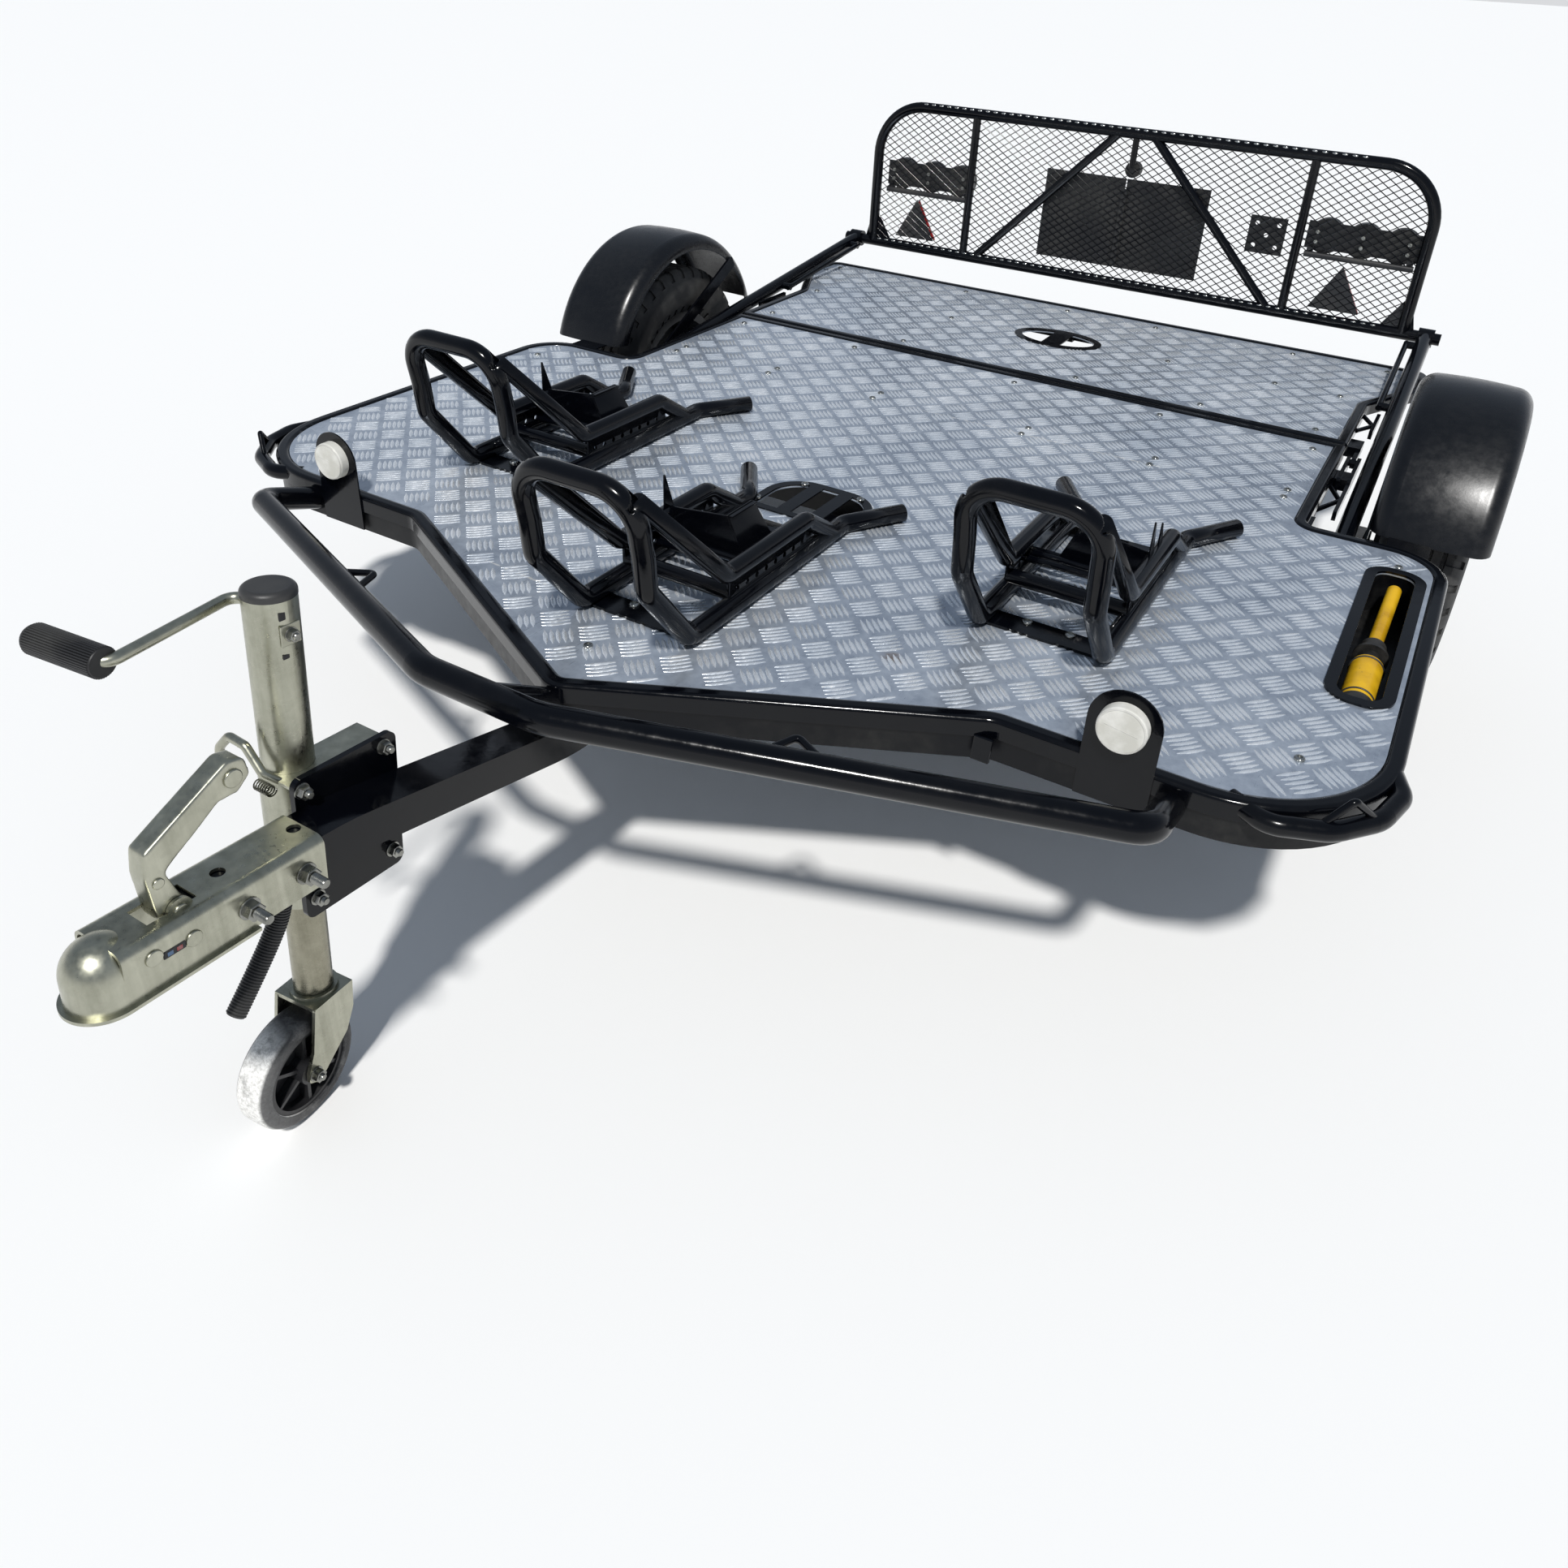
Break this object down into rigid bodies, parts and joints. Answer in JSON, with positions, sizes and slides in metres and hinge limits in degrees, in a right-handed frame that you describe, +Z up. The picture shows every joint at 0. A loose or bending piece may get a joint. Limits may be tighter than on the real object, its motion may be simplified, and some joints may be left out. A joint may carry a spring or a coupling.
{
  "type": "folding motorcycle trailer",
  "caption": "Flat plate trailer for motorcycles, with wheel chocks, a tilting rear panel, a lamp gate on long folding arms, road wheels and a winding jockey wheel.",
  "frame": {"origin": "on the ground, under the middle of the bounding box", "axes": "+Z up, +Y to the rear along the trailer, +X across to the pump side"},
  "size_m": [2.24, 3.2554, 0.9815],
  "materials": {
    "black_paint": "gloss",
    "chequer_plate": "five-bar tread, dulled by use",
    "galvanised": "zinc, slightly yellow",
    "black_plastic": "satin",
    "rubber": "dusty",
    "tyre": "matt",
    "wheel_paint": "gloss",
    "yellow_paint": "gloss, worn",
    "lamp_white": "moulded",
    "lamp_red": "moulded"
  },
  "bodies": {
    "root": {"arm_brackets": "black_paint", "axle_beam": "black_paint", "centre_chock": "black_paint", "centre_wheel_stop": "black_paint", "clamp_handle": "galvanised", "conduit": "black_plastic", "conduit_gland": "black_plastic", "corner_bars": "black_paint", "coupling_handle": "galvanised", "coupling_housing": "galvanised", "deck_frame": "black_paint", "deck_hinges": "black_paint", "deck_plate": "chequer_plate", "deck_trim": "black_paint", "drawbar": "black_paint", "fender_stays": "black_paint", "jack_cap": "black_plastic", "jack_clamp": "galvanised", "jack_outer_tube": "galvanised", "jack_plate": "black_paint", "left_chock": "black_paint", "left_fender": "black_paint", "left_wheel_stop": "black_paint", "marker_brackets": "black_paint", "marker_lamps": "lamp_white", "nose_bar": "black_paint", "opening_trims": "black_paint", "pump_block": "black_paint", "pump_cylinder": "yellow_paint", "pump_tray": "black_paint", "right_chock": "black_paint", "right_fender": "black_paint", "right_wheel_stop": "black_paint", "swing_arms": "black_paint"},
    "rear_panel": {"panel_plate": "chequer_plate", "panel_trim": "black_paint", "panel_frame": "black_paint", "panel_oval": "black_paint", "panel_hinges": "black_paint", "panel_trusses": "black_paint"},
    "gate_arms": {"gate_arms": "black_paint"},
    "gate": {"gate_frame": "black_paint", "gate_mesh": "black_paint", "plate_holder": "black_plastic", "left_lamps": "black_plastic", "right_lamps": "black_plastic", "lamp_lenses": "lamp_red", "reflectors": "lamp_red", "socket_plate": "black_plastic"},
    "left_wheel": {"left_tyre": "tyre", "left_rim": "wheel_paint"},
    "right_wheel": {"right_tyre": "tyre", "right_rim": "wheel_paint"},
    "jack_inner": {"jack_inner_tube": "galvanised"},
    "jockey_fork": {"jockey_fork": "galvanised"},
    "jockey_wheel": {"jockey_tyre": "rubber", "jockey_rim": "black_plastic"},
    "crank": {"crank": "galvanised", "crank_grip": "black_plastic"}
  },
  "joints": [
    {"name": "panel_tilt", "type": "hinge", "parent": "root", "child": "rear_panel", "pos_m": [0, 0.79366, 0.436], "axis": [-1, 0, 0], "range_deg": [0, 36]},
    {"name": "arm_lift", "type": "hinge", "parent": "root", "child": "gate_arms", "pos_m": [0, 0.36866, 0.4], "axis": [1, 0, 0], "range_deg": [0, 75]},
    {"name": "gate_fold", "type": "hinge", "parent": "gate_arms", "child": "gate", "pos_m": [0, 1.57567, 0.546], "axis": [1, 0, 0], "range_deg": [0, 80]},
    {"name": "left_wheel_spin", "type": "hinge", "parent": "root", "child": "left_wheel", "pos_m": [-1.01, 0.68366, 0.298], "axis": [1, 0, 0], "continuous": true},
    {"name": "right_wheel_spin", "type": "hinge", "parent": "root", "child": "right_wheel", "pos_m": [1.01, 0.68366, 0.298], "axis": [1, 0, 0], "continuous": true},
    {"name": "jack_wind", "type": "slide", "parent": "root", "child": "jack_inner", "axis": [0, 0.0767, 0.9971], "range_m": [-0.075, 0.105]},
    {"name": "castor_swivel", "type": "hinge", "parent": "jack_inner", "child": "jockey_fork", "pos_m": [-0.0945, -1.31329, 0.17639], "axis": [0, 0.0767, 0.9971], "continuous": true},
    {"name": "jockey_spin", "type": "hinge", "parent": "jockey_fork", "child": "jockey_wheel", "pos_m": [-0.09055, -1.36264, 0.08009], "axis": [0.9956, 0.0938, -0.0072], "continuous": true},
    {"name": "crank_turn", "type": "hinge", "parent": "root", "child": "crank", "pos_m": [-0.0945, -1.2709, 0.72736], "axis": [0.9934, 0.1146, -0.0088], "continuous": true}
  ]
}
